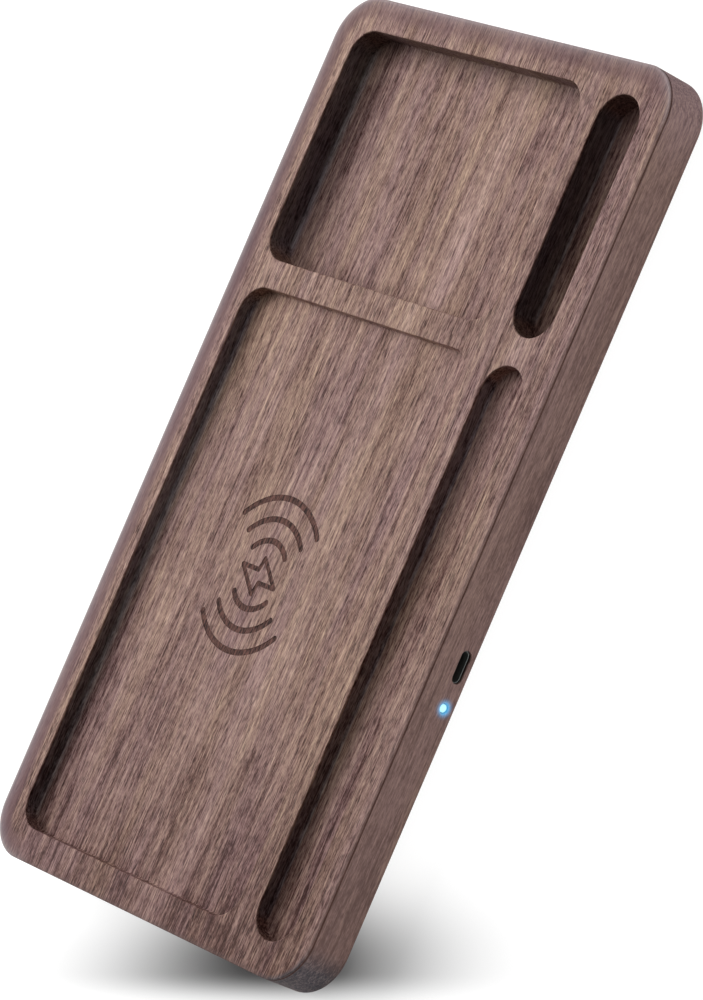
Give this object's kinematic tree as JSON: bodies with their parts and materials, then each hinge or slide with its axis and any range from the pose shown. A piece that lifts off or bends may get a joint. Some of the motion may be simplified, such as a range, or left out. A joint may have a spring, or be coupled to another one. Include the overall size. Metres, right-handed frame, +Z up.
{
  "type": "wireless charging tray",
  "caption": "Walnut desk tray with a wireless charger under its phone recess, a deep pocket, two slots and a USB-C socket in its side.",
  "frame": {"origin": "middle of the surface that the feet stand on, under the middle of the tray's outline", "axes": "+Z up, +Y along the tray towards the deep pocket, +X towards the side with the USB-C socket"},
  "size_m": [0.14, 0.25, 0.015],
  "materials": {
    "walnut": "oiled walnut, satin",
    "cover_plastic": "fine matt grain",
    "steel": "plated steel",
    "foot_rubber": "matt rubber",
    "tape": "double-sided paper tape",
    "copper": "enamelled copper strands",
    "ferrite": "dark sintered ferrite",
    "foam": "closed-cell foam",
    "lead_sleeve": "smooth wire insulation",
    "board_green": "solder-masked laminate",
    "black_plastic": "moulded black plastic",
    "lit_plastic": "clear plastic, lit blue-white",
    "white_ceramic": "white package",
    "tan_ceramic": "sintered ceramic with tinned ends"
  },
  "bodies": {
    "root": {"tray_body": "walnut", "base_cover": "cover_plastic", "cover_screw_1": "steel", "cover_screw_2": "steel", "cover_screw_3": "steel", "cover_screw_4": "steel", "cover_screw_5": "steel", "cover_screw_6": "steel", "foot_1": "foot_rubber", "foot_2": "foot_rubber", "foot_3": "foot_rubber", "foot_4": "foot_rubber", "coil_tape": "tape", "charging_coil": "copper", "ferrite_sheet": "ferrite", "foam_pad": "foam", "coil_lead_inner": "lead_sleeve", "coil_lead_outer": "lead_sleeve", "circuit_board": "board_green", "board_screw_1": "steel", "board_screw_2": "steel", "board_screw_3": "steel", "board_screw_4": "steel", "usb_port_shell": "steel", "usb_port_tongue": "black_plastic", "light_pipe": "lit_plastic", "led_emitter": "white_ceramic", "controller_chip": "black_plastic", "bridge_chip": "black_plastic", "power_inductor": "ferrite", "input_capacitor": "tan_ceramic", "resonant_capacitor_1": "tan_ceramic", "resonant_capacitor_2": "tan_ceramic", "resonant_capacitor_3": "tan_ceramic", "resonant_capacitor_4": "tan_ceramic"}
  },
  "joints": []
}
